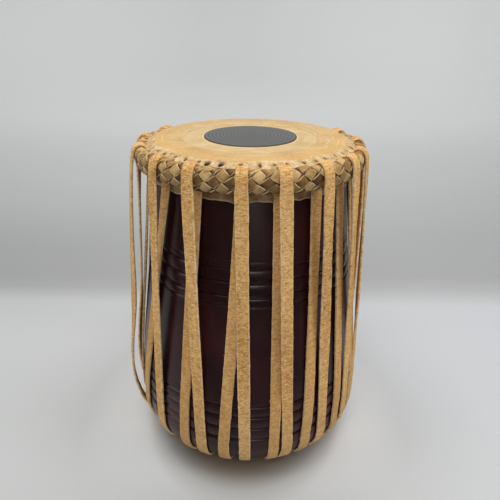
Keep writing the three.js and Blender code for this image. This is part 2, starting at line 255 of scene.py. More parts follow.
def ring_tilt(angle):
    """How far the woven ring stands above its middle height: it was hammered down unevenly."""
    back = np.clip((-np.cos(angle) - 0.45) / 0.45, 0, 1)
    return WEAVE_RISE * np.cos(angle - WEAVE_HIGH_SIDE) - WEAVE_BACK_DROP * back ** 2 * (3 - 2 * back)


def side_curve(steps=400):
    """The shell's side from the rim down to its straight belly, as radius and height."""
    t = np.linspace(0, 1, steps)[:, None]
    p0 = np.array([RIM_RADIUS, SHELL_TOP])
    p1 = np.array([RIM_RADIUS + SHOULDER_PULL, SHELL_TOP - SHOULDER_DROP])
    p2 = np.array([BELLY, HEAD_TOP - BELLY_DROP + BELLY_PULL])
    p3 = np.array([BELLY, HEAD_TOP - BELLY_DROP])
    return (1 - t) ** 3 * p0 + 3 * (1 - t) ** 2 * t * p1 + 3 * (1 - t) * t ** 2 * p2 + t ** 3 * p3


SIDE = side_curve()


def side_radius(z):
    return np.interp(z, SIDE[::-1, 1], SIDE[::-1, 0])


def ellipse_arc(centre, half_width, half_height, start, end, steps):
    """Points of an ellipse at even steps of its outward normal's angle."""
    normal = np.linspace(start, end, steps)
    length = np.hypot(half_width * np.cos(normal), half_height * np.sin(normal))
    return np.stack([centre[0] + half_width ** 2 * np.cos(normal) / length,
                     centre[1] + half_height ** 2 * np.sin(normal) / length], axis=1)


# The lacing strap

def pull_tight(points):
    """Drops each point that a tight strap would not touch."""
    route = []
    for p in points:
        while len(route) > 1:
            a, b = route[-2:]
            if (b[0] - a[0]) * (p[1] - b[1]) - (b[1] - a[1]) * (p[0] - b[0]) > 1e-12:
                break
            route.pop()
        route.append(p)
    return np.array(route)


def leg_routes(top):
    """A loop's outer leg, inner leg, turn over the woven ring and turn inside the base ring."""
    ring_half = RING_HIGH[0] - RING_RADIUS - RING_ROUND
    inside, outside = RING_RADIUS - ring_half, RING_RADIUS + ring_half
    under = RING_LOW[2] - STRAP_OFFSET
    above = RING_HIGH[2] + STRAP_OFFSET
    reach = RING_ROUND + STRAP_OFFSET
    inner_reach = reach + TURN_BULGE
    corner = ellipse_arc((BELLY - CORNER_WIDTH, CORNER_TOP), CORNER_WIDTH + STRAP_OFFSET,
                         CORNER_HEIGHT + STRAP_OFFSET, -math.pi / 2, 0, 40)
    side = SIDE[::-1][:-80:4] + [STRAP_OFFSET, 0]
    over = ellipse_arc((WEAVE_RADIUS, WEAVE_Z + ring_tilt(top)), WEAVE_RADIUS - LEG_RADIUS,
                       WEAVE_HALF_HEIGHT + WEAVE_CROWN + STRAP_OFFSET, 0, math.pi, 40)
    turn = ellipse_arc((outside, under + reach), reach, reach, -math.pi / 2, 0, 12)
    outer = pull_tight([(inside, under), *turn, *corner, *side, over[0]])
    inner = pull_tight([(inside, above), *corner, *side, over[-1]])
    low = ellipse_arc((inside, under + reach), inner_reach, reach, 1.5 * math.pi, math.pi, 10)
    high = ellipse_arc((inside, above - reach), inner_reach, reach, math.pi, math.pi / 2, 10)
    return outer, inner, over, np.concatenate([low, high])


def strap_route():
    """Stops of the strap's middle line: radius, height, angle, and the slacks and twist of its leg."""
    ring_edge = RING_HIGH[0] + STRAP_THICK
    stops = []

    def add(points, angle, hang=(0, 0, 0)):
        for radius, z in points:
            stops.append((radius, z, math.radians(angle((radius, z))), *hang))

    for index, (top, inner_foot, outer_foot) in enumerate(LOOPS):
        last = index == len(LOOPS) - 1
        before = LOOPS[index - 1][2] - (360 if index == 0 else 0)
        after = LOOPS[(index + 1) % len(LOOPS)][1] + (360 if last else 0)
        arrive, leave = (before + inner_foot) / 2, (outer_foot + after) / 2
        outer, inner, over, turn = leg_routes(math.radians(top))

        def leg(ring_angle, foot):
            def angle(p):
                share = (p[1] - CORNER_TOP) / (WEAVE_Z - CORNER_TOP)
                return ring_angle if p[0] < ring_edge else foot + (top - foot) * min(max(share, 0), 1)
            return angle

        if index == 0:
            add(turn[10:-1], lambda p: arrive)
        add(inner, leg(arrive, inner_foot))
        add(over[1:-1][::-1], lambda p: top)
        add(outer[::-1], leg(leave, outer_foot), (SLACK[index], BELLY_SLACK[index], TWIST[index]))
        add(turn[1:10] if last else turn[1:-1], lambda p: leave)
    return np.array(stops)


def strap_frames():
    """Even steps along the strap: its middle line, and the directions out of its face and across it."""
    stops = strap_route()
    length = path_lengths(polar(stops[:, 0], stops[:, 2], stops[:, 1]))
    along = np.arange(0, length[-1], STRAP_STEP)
    radius, z, angle, slack, sag, twist = [np.interp(along, length, column) for column in stops.T]
    rise = (z - CORNER_TOP) / (WEAVE_Z - CORNER_TOP)
    outside = np.clip((radius - 50 * MM) / (30 * MM), 0, 1)
    belly, spread = 0.12, 0.22
    radius = radius + sag * np.exp(-((rise - belly) / spread) ** 2) * outside
    rise = np.clip(rise, 0, 1)
    radius = radius + slack * np.sin(math.pi * rise) ** 0.6
    middle = polar(radius, angle, z)
    tangent = unit(np.gradient(middle, axis=0))
    flat = np.stack([np.gradient(radius), np.gradient(z)], axis=1)
    kernel = np.array([1, 2, 3, 2, 1]) / 9
    flat = np.stack([np.convolve(np.pad(row, 2, "edge"), kernel, "valid") for row in flat.T], axis=1)
    flat = unit(flat)
    across = unit(np.cross(tangent, polar(-flat[:, 1], angle, flat[:, 0])))
    out = np.cross(across, tangent)
    free = np.clip((rise - 0.28) / 0.18, 0, 1) * np.clip((0.94 - rise) / 0.14, 0, 1)
    roll = (free * (twist + STRAP_SWAY * ripple(17, 10, 30, periodic=False)(along)))[:, None]
    out, across = out * np.cos(roll) + across * np.sin(roll), across * np.cos(roll) - out * np.sin(roll)
    return along, middle, out, across


def strap_section():
    """A hide strap's section as shares of half its width and half its thickness."""
    flat = [(-0.62, 1.0), (-0.3, 1.02), (0.0, 1.03), (0.3, 1.02), (0.62, 1.0)]
    edge = [(0.9, 0.93), (0.975, 0.7), (1.0, 0.25), (1.0, -0.25), (0.975, -0.7), (0.9, -0.93)]
    top = flat + edge
    return np.array(top + [(-x, -y) for x, y in top])


def lacing_strap(frames, material):
    along, middle, out, across = frames
    section = strap_section()
    wide = 1 + 0.045 * ripple(11, 6, 60, periodic=False)(along)
    wide = wide * (1 - 0.09 * np.clip((middle[:, 2] - WEAVE_Z) / (8 * MM) + 1, 0, 1))
    left = 1 + 0.03 * ripple(12, 150, 700, periodic=False)(along)
    right = 1 + 0.03 * ripple(13, 150, 700, periodic=False)(along)
    thick = 0.94 + 0.05 * ripple(14, 20, 120, periodic=False)(along)
    half_wide = np.where(section[:, 0] < 0, left[:, None], right[:, None]) * wide[:, None]
    x = section[:, 0] * half_wide * STRAP_WIDTH / 2 * 0.97
    y = section[:, 1] * thick[:, None] * STRAP_THICK / 2
    points = middle[:, None, :] + x[..., None] * across[:, None, :] + y[..., None] * out[:, None, :]
    points[..., 2] = np.maximum(points[..., 2], 0)
    rows, columns = points.shape[:2]
    piece = mesh_object("lacing_strap_hide", points, tube_faces(rows, columns), material)
    lay_attribute(piece, along[:, None], x, y)
    tone = 0.5 + 0.5 * ripple(15, 8, 45, periodic=False)(along)
    float_attribute(piece, "tone", np.repeat(np.clip(tone, 0, 1), columns))
    return piece


def strap_fibres(frames, material):
    """Loose fibres along the strap's cut edges, each a thin closed spike with a bend."""
    along, middle, out, across = frames
    draw = np.random.default_rng(16)
    count = STRAP_FIBRES
    row = draw.integers(4, len(along) - 4, count)
    side = draw.choice((-1, 1), count)
    root = middle[row] + across[row] * (side * STRAP_WIDTH * 0.47)[:, None]
    root = root + out[row] * (draw.uniform(-0.4, 0.5, count) * STRAP_THICK)[:, None]
    tangent = np.cross(out[row], across[row])
    lean = draw.normal(0, 0.8, count)[:, None] * tangent + draw.normal(0.25, 0.4, count)[:, None] * out[row]
    reach = np.abs(draw.normal(0.6, 0.55, count))[:, None] * MM
    aim = unit(across[row] * side[:, None] + lean)
    curl = np.cross(aim, draw.normal(0, 1, (count, 3)))
    width = draw.uniform(0.05, 0.11, count)[:, None] * MM
    wide = unit(np.cross(aim, curl))
    curl = unit(curl)
    bend = root + aim * reach * 0.55 + curl * reach * 0.2
    corners = np.stack([root - wide * width, root + wide * width, root + curl * width * 1.6,
                        bend - wide * width, bend + wide * width, bend + curl * width * 1.6,
                        root + aim * reach], axis=1)
    corners[..., 2] = np.maximum(corners[..., 2], 0)
    faces = []
    for k in range(0, count * 7, 7):
        for a, b in ((1, 0), (2, 1), (0, 2)):
            faces += [(k + a, k + b, k + b + 3, k + a + 3), (k + a + 3, k + b + 3, k + 6)]
        faces.append((k, k + 1, k + 2))
    return mesh_object("lacing_strap_fibres", corners, faces, material)


def loop_gap(angle):
    """The angle from a place on the woven ring to the nearest loop of the strap."""
    return np.abs((np.asarray(angle)[..., None] - LOOP_TOPS + math.pi) % TURN - math.pi).min(axis=-1)


# The woven ring

def weave_normals():
    """Normals at even steps of length round the woven ring's section."""
    normal = np.linspace(0, TURN, 2881)
    length = path_lengths(ellipse_arc((0, 0), WEAVE_HALF_WIDTH, WEAVE_HALF_HEIGHT, 0, TURN, len(normal)))
    return length / length[-1], normal, length[-1]


WEAVE_SHARE, WEAVE_NORMAL, WEAVE_GIRTH = weave_normals()


def weave_point(share, angle, lift):
    """A point at a share of the way round the ring's section. The ring swells inwards between the loops."""
    normal = np.interp(share % 1, WEAVE_SHARE, WEAVE_NORMAL)
    length = np.hypot(WEAVE_HALF_WIDTH * np.cos(normal), WEAVE_HALF_HEIGHT * np.sin(normal))
    x = WEAVE_HALF_WIDTH ** 2 * np.cos(normal) / length
    y = WEAVE_HALF_HEIGHT ** 2 * np.sin(normal) / length
    half = STRAP_WIDTH / 2 / LEG_RADIUS
    strap_near = np.clip((2.1 * half - loop_gap(angle)) / (0.9 * half), 0, 1)
    inward = np.clip(-x / WEAVE_HALF_WIDTH, 0, 1)
    swell = inward * (STRAP_THICK + FIT) * (1 - strap_near)
    radius = WEAVE_RADIUS + x - swell + lift * np.cos(normal)
    return polar(radius, angle, WEAVE_Z + ring_tilt(angle) + y + lift * np.sin(normal))


def weave_strand(start, hand, material):
    """One thong of the woven ring, winding over and under the other hand's."""
    per_wind = 56
    t = np.arange(WEAVE_WINDS * per_wind) / per_wind
    crossing = np.cos(math.pi * WEAVE_ROWS * t) * hand
    snap = 2.2
    lift = np.tanh(snap * crossing) / math.tanh(snap) * THONG_LIFT
    key = start * 17 + (5 if hand > 0 else 11)
    way = t * TURN / WEAVE_WINDS
    wander = ripple(key, 20, 110)(way)
    width = THONG_WIDTH + 0.42 * MM * ripple(key + 1, 30, 110)(way)
    angle = (start + hand * WEAVE_ADVANCE * t) * WEAVE_PITCH + 0.035 * WEAVE_PITCH * wander
    slant = math.atan2(WEAVE_GIRTH, WEAVE_ADVANCE * WEAVE_PITCH * WEAVE_RADIUS)
    section = [(-0.5, -0.5), (-0.5, 0.25), (-0.47, 0.42), (-0.25, 0.47), (0, 0.5),
               (0.25, 0.47), (0.47, 0.42), (0.5, 0.25), (0.5, -0.5), (0, -0.5)]
    if hand < 0:
        section = section[::-1]
    rings = []
    for across, up in section:
        shift = across * width
        share = t - shift * math.cos(slant) / WEAVE_GIRTH
        turn = angle + hand * shift * math.sin(slant) / WEAVE_RADIUS
        rings.append(weave_point(share, turn, lift + up * THONG_THICK))
    points = np.stack(rings, axis=1)
    rows, columns = points.shape[:2]
    name = f"weave_{'right' if hand > 0 else 'left'}_{start + 1}"
    piece = mesh_object(name, points, grid_faces(rows, columns, wrap_rows=True), material)
    across = np.array([a for a, _ in section])
    lay_attribute(piece, (t * WEAVE_GIRTH * 1.5)[:, None], across * width[:, None], lift[:, None])
    crossings = WEAVE_WINDS * WEAVE_ROWS
    low, high = (0.55, 1.05) if hand < 0 else (0.08, 0.62)
    tone = np.random.default_rng(key).uniform(low, high, crossings + 1)
    cell = np.floor(t * WEAVE_ROWS + 0.5).astype(int) % crossings
    normal = np.interp(t % 1, WEAVE_SHARE, WEAVE_NORMAL)
    # Painted light: each thong's upward face is made lighter, as if lit from above.
    lightening = 0.3 * np.clip(np.sin(normal) * 4 - 3, 0, 1)
    float_attribute(piece, "tone", np.repeat(tone[cell] + lightening, columns))
    # Painted shade: each thong's downward face gets a share of dark, as if in shadow.
    float_attribute(piece, "under", np.repeat(np.clip(0.25 - np.sin(normal), 0, 1), columns))
    return piece


def weave_strands(material):
    return [weave_strand(start, hand, material) for start in range(WEAVE_ADVANCE) for hand in (1, -1)]


def weave_core(material):
    """The bundle of hide inside the weave, seen only in the gaps between thongs. Its near black colour is
    painted shade for those gaps.
    """
    rows, columns = 32, 192
    share = np.arange(rows)[:, None] / rows
    angle = np.arange(columns) * TURN / columns
    points = weave_point(share, angle, -1.5 * MM)
    return mesh_object("weave_core", points, grid_faces(rows, columns, wrap_rows=True), material)


def hole_places():
    """The holes that the thongs pass through: angle, radius, half width and half length of each."""
    draw = np.random.default_rng(41)
    count = WEAVE_PITCHES
    angle = (np.arange(count) + 0.5 + draw.uniform(-0.14, 0.14, count)) * TURN / count
    radius = HOLE_RADIUS + draw.uniform(-0.7, 0.5, count) * MM
    half_wide = draw.uniform(1.1, 1.7, count) * MM
    half_long = draw.uniform(1.3, 2.0, count) * MM
    for big, shift in BIG_HOLES:
        half_wide[big], half_long[big], radius[big] = BIG_HOLE
        angle[big] = (big + 0.5 + shift) * TURN / count
    return angle, radius, half_wide, half_long


def hole_depth(radius, angle):
    """How far each point of the apron lies inside a hole: below 1 inside, above 1 outside."""
    centre, place, half_wide, half_long = hole_places()
    index = np.floor(angle * WEAVE_PITCHES / TURN).astype(int) % WEAVE_PITCHES
    x = (angle - centre[index]) * radius / half_wide[index]
    y = (radius - place[index]) / half_long[index]
    return np.abs(x) ** 1.4 + np.abs(y) ** 1.4


def apron_height(radius):
    """The collar's height outside the flat head, where it slopes down to the woven ring."""
    return HEAD_TOP - APRON_DROP * np.clip((radius - APRON_START) / APRON_WIDTH, 0, 1) ** 1.45


def tie_route(hole_end, lift):
    """A tie's middle line as radius and height: over the woven ring and in to its hole."""
    start, end, steps = math.radians(52), math.radians(96), 8
    normal = np.linspace(start, end, steps)
    over = ellipse_arc((WEAVE_RADIUS, WEAVE_Z), WEAVE_HALF_WIDTH, WEAVE_HALF_HEIGHT, start, end, steps)
    over = over + lift * np.stack([np.cos(normal), np.sin(normal)], axis=1)
    low = min(hole_end + 0.4 * MM, APRON_END - 0.8 * MM)
    share = np.linspace(0, 1, 6)[1:, None]
    bridge = over[-1] + (np.array([low, apron_height(low) - 0.7 * MM]) - over[-1]) * share
    bridge[:, 1] += 0.2 * MM * np.sin(math.pi * share[:, 0])
    return np.concatenate([over, bridge])


def weave_tie(name, route, hole, lean, wide, tone, material):
    """One tie along its route, from beside its hole round to the hole."""
    rows = len(route)
    bow = 0.08 * np.sin(np.linspace(0, math.pi, rows))
    turn = hole + (np.linspace(-0.74, 0, rows) + bow) * WEAVE_PITCH + lean
    middle = polar(route[:, 0], turn, route[:, 1] + ring_tilt(turn))
    flat = unit(np.gradient(route, axis=0))
    out = polar(flat[:, 1], turn, -flat[:, 0])
    across = unit(np.cross(unit(np.gradient(middle, axis=0)), out))
    width = np.interp(np.linspace(0, 1, rows), [0, 0.6, 1], TIE_WIDTHS) * wide
    section = np.array([(-0.5, -0.5), (-0.5, 0.2), (-0.42, 0.45), (0, 0.52),
                        (0.42, 0.45), (0.5, 0.2), (0.5, -0.5)])
    rings = (middle[:, None, :] + section[None, :, :1] * width[:, None, None] * across[:, None, :]
             + section[None, :, 1:] * TIE_THICK * out[:, None, :])
    columns = len(section)
    piece = mesh_object(name, rings, tube_faces(rows, columns), material)
    lay_attribute(piece, np.arange(rows)[:, None] * 1.4 * MM, section[:, 0] * width[:, None], 0.9 * MM)
    float_attribute(piece, "tone", np.full(rows * columns, tone))
    return piece


def weave_ties(material):
    """The thongs' top turns, which run in over the woven ring and down through the collar's holes."""
    draw = np.random.default_rng(43)
    strap_room = 4.6 * MM / (84 * MM)
    pieces = []
    for index, (hole, place, _, half_long) in enumerate(zip(*hole_places())):
        lean = draw.uniform(-0.06, 0.06) * WEAVE_PITCH
        if loop_gap(hole) < strap_room:
            continue
        route = tie_route(place + half_long, draw.uniform(0.7, 1.0) * MM)
        wide, tone = draw.uniform(0.9, 1.1), draw.uniform(0.6, 1.0)
        pieces.append(weave_tie(f"weave_tie_{index + 1}", route, hole, lean, wide, tone, material))
    return pieces


# Shell, skins, paste and base ring

def rim_bend(offset, steps=8):
    """The bend over the shell's rim, this far off it, from the side up to the flat."""
    bend = SHELL_TOP - RIM_ROUND
    centre = (side_radius(bend) - RIM_ROUND, bend)
    return ellipse_arc(centre, RIM_ROUND + offset, RIM_ROUND + offset, 0, math.pi / 2, steps)


def shell_wall():
    """The shell's side with its grooves and the beads between them, as radius and height."""
    heights = [np.linspace(CORNER_TOP, SHELL_TOP - RIM_ROUND, 90)[1:]]
    for drop, _, _ in GROOVES:
        heights.append(HEAD_TOP - drop * MM + np.linspace(-2.6, 2.6, 19) * MM)
    z = np.unique(np.round(np.concatenate(heights), 6))
    radius = np.where(z < HEAD_TOP - BELLY_DROP, BELLY, side_radius(z))
    for drop, depth, spread in GROOVES:
        gap = (z - (HEAD_TOP - drop * MM)) / MM
        radius = radius - depth * np.exp(-(gap / spread) ** 2)
    for band in BEAD_BANDS:
        for high, low in zip(band, band[1:]):
            share = np.clip((HEAD_TOP / MM - z / MM - high) / (low - high), 0, 1)
            radius = radius - BEAD_DEPTH * (2 * share - 1) ** 2 * (share > 0) * (share < 1)
    return np.stack([radius, z], axis=1)


def shell(material):
    corner = ellipse_arc((BELLY - CORNER_WIDTH, CORNER_TOP), CORNER_WIDTH, CORNER_HEIGHT, -math.pi / 2, 0, 28)
    mouth = RIM_RADIUS - RIM_WALL
    floor = SHELL_TOP - CAVITY_DEPTH
    middle = floor + 0.35 * CAVITY_DEPTH
    bowl = ellipse_arc((0, middle), CAVITY_BELLY, middle - floor, 0, -math.pi / 2, 14)
    bend = SHELL_TOP - RIM_ROUND
    lip = ellipse_arc((mouth + RIM_ROUND, bend), RIM_ROUND, RIM_ROUND, math.pi / 2, math.pi, 6)
    profile = [(0, SHELL_BOTTOM), *corner, *shell_wall(), *rim_bend(0)[1:], *lip, *bowl]
    return revolve("lacquered_shell", profile, 224, material)


def drawn_skin(name, offset, flat, hem, segments, material, closed=False):
    """A skin drawn over the rim: from its hem up the side, round the bend and in along the flat."""
    low = SHELL_TOP - hem
    outer, inner = [[(side_radius(low) + lift, low), *rim_bend(lift), *((r, SHELL_TOP + lift) for r in flat)]
                    for lift in (offset, offset - SKIN)]
    return revolve(name, inner[::-1] + outer, segments, material, closed=closed)


def lining_skin(material):
    """The ring of skin that lies between the rim and the playing skin."""
    flat = np.linspace(HEAD_FLAT, LINING_INNER, 8)
    return drawn_skin("lining_skin_hide", FIT + SKIN, flat, LINING_HEM, 180, material, closed=True)


def head_skin(material):
    """The playing skin: the disc round the black centre, drawn down over the rim to the hem."""
    flat = np.linspace(HEAD_FLAT, 0, 50)
    return drawn_skin("head_skin_disc", 2 * (FIT + SKIN), flat, COLLAR_HEM, 240, material)


def hem_skirt(material):
    """The skins' hem, which hangs unevenly below the woven ring."""
    segments, steps = 480, 14
    angle = np.arange(segments) * TURN / segments
    low = HEAD_TOP - HEM_DROP + (1.5 * ripple(31, 5, 17)(angle) + 0.7 * ripple(32, 20, 60)(angle)) * MM
    high = HEAD_TOP - COLLAR_HEM
    rows = []
    for share in np.linspace(0, 1, steps):
        z = high + (low - high) * share
        flare = 0.5 * share ** 2 * (1 + ripple(33, 7, 40)(angle)) * MM
        rows.append((side_radius(z) + HEM_OFFSET + flare, z))
    inner = [(radius - HEM_THICK, z) for radius, z in rows[::-1]]
    points = [polar(radius, angle, z) for radius, z in rows + inner]
    faces = [face[::-1] for face in grid_faces(2 * steps, segments, wrap_rows=True)]
    piece = mesh_object("head_skin_hem", points, faces, material)
    share = np.concatenate([np.linspace(0, 1, steps), np.linspace(1, 0, steps)])
    float_attribute(piece, "drop", np.repeat(share, segments))
    return piece


def collar_skin(material):
    """The golden collar: flat on the head, over the rim and down a sloping apron to the woven ring."""
    edge = [(COLLAR_INNER, HEAD_FACE + 0.02 * MM), (COLLAR_INNER + 0.3 * MM, HEAD_FACE + 0.45 * MM),
            (COLLAR_INNER + 1.0 * MM, HEAD_TOP - 0.08 * MM), (COLLAR_INNER + 1.6 * MM, HEAD_TOP)]
    flat = [(r, HEAD_TOP) for r in np.linspace(COLLAR_INNER + 2.5 * MM, APRON_START, 34)]
    apron = [(r, apron_height(r)) for r in np.linspace(APRON_START, APRON_END, 56)[1:]]
    hem = HEAD_TOP - COLLAR_HEM
    under = [(88.2 * MM, HEAD_TOP - 5.6 * MM), (85 * MM, HEAD_TOP - 7 * MM), (84 * MM, hem),
             (side_radius(hem) + 2 * MM, hem), *rim_bend(3 * FIT + 2 * SKIN, 4)]
    profile = (edge + flat + apron + under)[::-1]
    found = {}

    def shape(radius, angle, z):
        outward = np.clip((radius - 79 * MM) / (7 * MM), 0, 1)
        on_top = outward * (z > HEAD_TOP - 5.1 * MM)
        hole = hole_depth(radius, angle)
        # The hole share also paints the holes near black in the collar's material, as painted shade.
        found["hole"] = np.clip(1.25 - hole, 0, 1) * on_top
        lip = np.exp(-((hole - 1.7) / 0.6) ** 2) * on_top
        crease = 0.16 * ripple(21, 40, 150)(angle) + 0.22 * ripple(22, 10, 40)(angle)
        wobble = 0.5 * ripple(23, 6, 40)(angle) * np.clip(1 - (radius - COLLAR_INNER) / (2.5 * MM), 0, 1)
        z = z + outward * ring_tilt(angle) + on_top * (crease + 0.3 * lip) * MM
        z = z - HOLE_DEPTH * np.clip(found["hole"] * 2.5, 0, 1)
        scallop = 0.7 * np.cos(angle * WEAVE_PITCHES) * np.clip((radius - 86.5 * MM) / (2 * MM), 0, 1)
        return radius + (wobble + scallop * (z > HEAD_TOP - 8 * MM)) * MM, z

    piece = revolve("collar_skin_hide", profile, 1152, material, closed=True, shape=shape)
    float_attribute(piece, "hole", found["hole"].ravel())
    return piece


def black_centre(material):
    """The black paste: a low crown with a fine ring at the edge of each thin layer."""
    radii = np.linspace(0, 1, 260) * PASTE_RADIUS
    crown = (PASTE_TOP - HEAD_FACE - PASTE_EDGE) * (1 - (radii / PASTE_RADIUS) ** 2)
    phase = (radii / PASTE_RADIUS * PASTE_LAYERS) % 1
    ridge = PASTE_RIDGE * np.exp(-((phase - 0.5) / 0.16) ** 2)
    top = HEAD_FACE + PASTE_EDGE + crown * 0.92 + ridge
    profile = [(0, HEAD_FACE), (PASTE_RADIUS, HEAD_FACE), (PASTE_RADIUS, HEAD_FACE + 0.5 * PASTE_EDGE)]
    profile += [(r, z) for r, z in zip(radii[::-1], top[::-1]) if r < PASTE_RADIUS - 0.25 * MM]
    piece = revolve("black_centre_paste", profile, 192, material)
    piece.data.transform(Matrix.Translation((0, PASTE_BACK, 0)))
    return piece


def base_ring(material):
    """The base ring: a hide core wound with a thong."""
    rows, columns = 880, 20
    angles = (np.arange(rows) * TURN / rows)[:, None]
    turns = np.arange(columns) * TURN / columns
    half_width = RING_HIGH[0] - RING_RADIUS
    half_height = (RING_HIGH[2] - RING_LOW[2]) / 2
    phase = (angles * RING_WINDS / TURN + turns / TURN) % 1
    groove = RING_GROOVE * np.exp(-((phase - 0.5) / 0.1) ** 2)
    boxy = 0.72
    x = np.sign(np.cos(turns)) * np.abs(np.cos(turns)) ** boxy * (half_width - groove)
    y = np.sign(np.sin(turns)) * np.abs(np.sin(turns)) ** boxy * (half_height - groove)
    points = polar(RING_RADIUS + x, angles, (RING_LOW[2] + RING_HIGH[2]) / 2 + y)
    faces = [face[::-1] for face in grid_faces(rows, columns, wrap_rows=True)]
    return mesh_object("base_ring_wound", points, faces, material)


# Materials

class Shader:
    """A Principled material and short calls for its nodes."""

    def __init__(self, name, **values):
        self.material = bpy.data.materials.new(name)
        self.material.use_nodes = True
        self.tree = self.material.node_tree
        self.surface = self.tree.nodes["Principled BSDF"]
        self.where = self.add("TexCoord").outputs["Object"]
        for key, value in values.items():
            self.surface.inputs[key.replace("_", " ")].default_value = value

    def add(self, kind, inputs=None, **options):
        made = self.tree.nodes.new(f"ShaderNode{kind}")
        for key, value in options.items():
            setattr(made, key, value)
        for key, value in (inputs or {}).items():
            self.put(made.inputs[key], value)
        return made

    def put(self, socket, value):
        if isinstance(value, bpy.types.NodeSocket):
            self.tree.links.new(value, socket)
        else:
            socket.default_value = (*value, 1) if socket.type == "RGBA" else value

    def noise(self, where, scale, detail=4, rough=0.55):
        made = self.add("TexNoise", {"Vector": where, "Scale": scale, "Detail": detail, "Roughness": rough})
        return made.outputs["Fac"]

    def stretched_noise(self, where, factors, detail, rough=0.55):
        scaled = self.add("VectorMath", {0: where, 1: factors}, operation="MULTIPLY")
        return self.noise(scaled.outputs[0], 1.0, detail, rough)

    def ramp(self, value, *stops):
        made = self.add("ValToRGB", {"Fac": value})
        ramp = made.color_ramp
        while len(ramp.elements) < len(stops):
            ramp.elements.new(0.5)
        for element, (place, colour) in zip(ramp.elements, stops):
            element.position = place
            element.color = (*colour, 1)
        return made.outputs["Color"]

    def above(self, value, low, high):
        """Black below the first value, white above the second."""
        return self.ramp(value, (low, BLACK), (high, WHITE))

    def below(self, value, low, high):
        """White below the first value, black above the second."""
        return self.ramp(value, (low, WHITE), (high, BLACK))

    def mix(self, share, first, second, blend="MIX"):
        made = self.add("Mix", {0: share, 6: first, 7: second}, data_type="RGBA", blend_type=blend)
        return made.outputs[2]

    def tint(self, base, mask, share, colour):
        """The base with a share of a colour where the mask is white."""
        return self.mix(self.times(mask, share), base, colour)

    def math(self, operation, first, second=0.0, clamp=False):
        made = self.add("Math", {0: first, 1: second}, operation=operation, use_clamp=clamp)
        return made.outputs[0]

    def times(self, first, second, clamp=False):
        return self.math("MULTIPLY", first, second, clamp)

    def plus(self, first, second, clamp=False):
        return self.math("ADD", first, second, clamp)

    def past(self, value, start, slope):
        """Rises from 0 where a value passes its start, up to 1."""
        return self.times(self.math("SUBTRACT", value, start), slope, clamp=True)

    def short_of(self, value, end, slope):
        """Falls to 0 where a value reaches its end, from 1."""
        return self.times(self.math("SUBTRACT", end, value), slope, clamp=True)

    def length(self, x, y):
        return self.math("SQRT", self.plus(self.times(x, x), self.times(y, y)))

    def split(self, where):
        return self.add("SeparateXYZ", {"Vector": where}).outputs

    def round_place(self, along=2.2, across=700, back=0.0):
        """Coordinates that run round the drum's axis, for marks scraped along a skin, and the radius."""
        x, y, _ = self.split(self.where)
        y = self.math("SUBTRACT", y, back)
        radius = self.length(x, y)
        safe = self.math("MAXIMUM", radius, 0.001)
        turned = [self.times(self.math("DIVIDE", value, safe), along) for value in (x, y)]
        around = self.add("CombineXYZ", dict(enumerate([*turned, self.times(radius, across)])))
        return around.outputs[0], radius

    def attribute(self, name, output="Fac"):
        return self.add("Attribute", attribute_name=name).outputs[output]

    def bump(self, height, depth, strength):
        made = self.add("Bump", {"Height": height, "Distance": depth, "Strength": strength})
        self.put(self.surface.inputs["Normal"], made.outputs["Normal"])

    def colour(self, value):
        self.put(self.surface.inputs["Base Color"], value)

    def roughness(self, value, amount, least):
        self.put(self.surface.inputs["Roughness"], self.plus(self.times(value, amount), least))


def lacquer():
    s = Shader("maroon_lacquer", Specular_IOR_Level=0.29)
    cloud = s.noise(s.where, 14)
    grain = s.stretched_noise(s.where, (70, 70, 4), 6, 0.6)
    base = s.ramp(cloud, (0.35, (0.0165, 0.004, 0.0046)), (0.55, (0.032, 0.007, 0.0086)),
                  (0.7, (0.052, 0.0105, 0.013)))
    s.colour(s.tint(base, s.above(grain, 0.45, 0.75), 0.35, (0.006, 0.002, 0.003)))
    s.roughness(cloud, 0.16, 0.2)
    s.bump(s.stretched_noise(s.where, (90, 90, 9), 5), 0.3 * MM, 0.3)
    return s.material


def strap_hide():
    s = Shader("strap_hide", Roughness=0.9, Specular_IOR_Level=0.15)
    lay = s.attribute("lay", "Vector")
    _, x, y = s.split(lay)
    blotch = s.stretched_noise(lay, (70, 160, 160), 5, 0.62)
    mottle = s.stretched_noise(lay, (760, 430, 430), 6, 0.74)
    crease = s.stretched_noise(lay, (1300, 360, 360), 5, 0.72)
    speck = s.noise(s.where, 1100, 2, 0.6)
    base = s.ramp(s.plus(s.times(blotch, 0.68), s.times(s.attribute("tone"), 0.32)),
                  (0.25, (0.53, 0.235, 0.06)), (0.42, (0.68, 0.34, 0.1)), (0.56, (0.8, 0.44, 0.145)),
                  (0.75, (0.9, 0.56, 0.22)))
    base = s.tint(base, s.below(mottle, 0.38, 0.56), 0.8, (0.32, 0.131, 0.03))
    base = s.tint(base, s.above(crease, 0.47, 0.62), 0.7, (1.0, 0.74, 0.355))
    base = s.tint(base, s.below(speck, 0.27, 0.36), 0.5, (0.17, 0.07, 0.02))
    low = s.short_of(s.split(s.where)[2], 0.1, 12)
    base = s.tint(base, low, 0.4, (0.53, 0.36, 0.195))
    edge = s.past(s.math("ABSOLUTE", x), 3.9 * MM, 1100)
    lightening = s.ramp(s.stretched_noise(lay, (160, 1, 1), 3), (0.4, (0.1, 0.1, 0.1)), (0.6, WHITE))
    base = s.tint(base, s.times(edge, lightening), 0.75, (0.94, 0.76, 0.48))
    back = s.math("LESS_THAN", y, -0.2 * MM)
    s.colour(s.tint(base, back, 0.3, (0.45, 0.21, 0.07)))
    s.bump(s.plus(s.times(mottle, 0.8), s.times(crease, 0.7)), 0.7 * MM, 0.75)
    return s.material


def fibre_hide():
    s = Shader("strap_fibres", Roughness=0.95, Specular_IOR_Level=0.1)
    s.colour(s.ramp(s.noise(s.where, 300, 2), (0.35, (0.72, 0.5, 0.24)), (0.65, (0.92, 0.78, 0.54))))
    return s.material


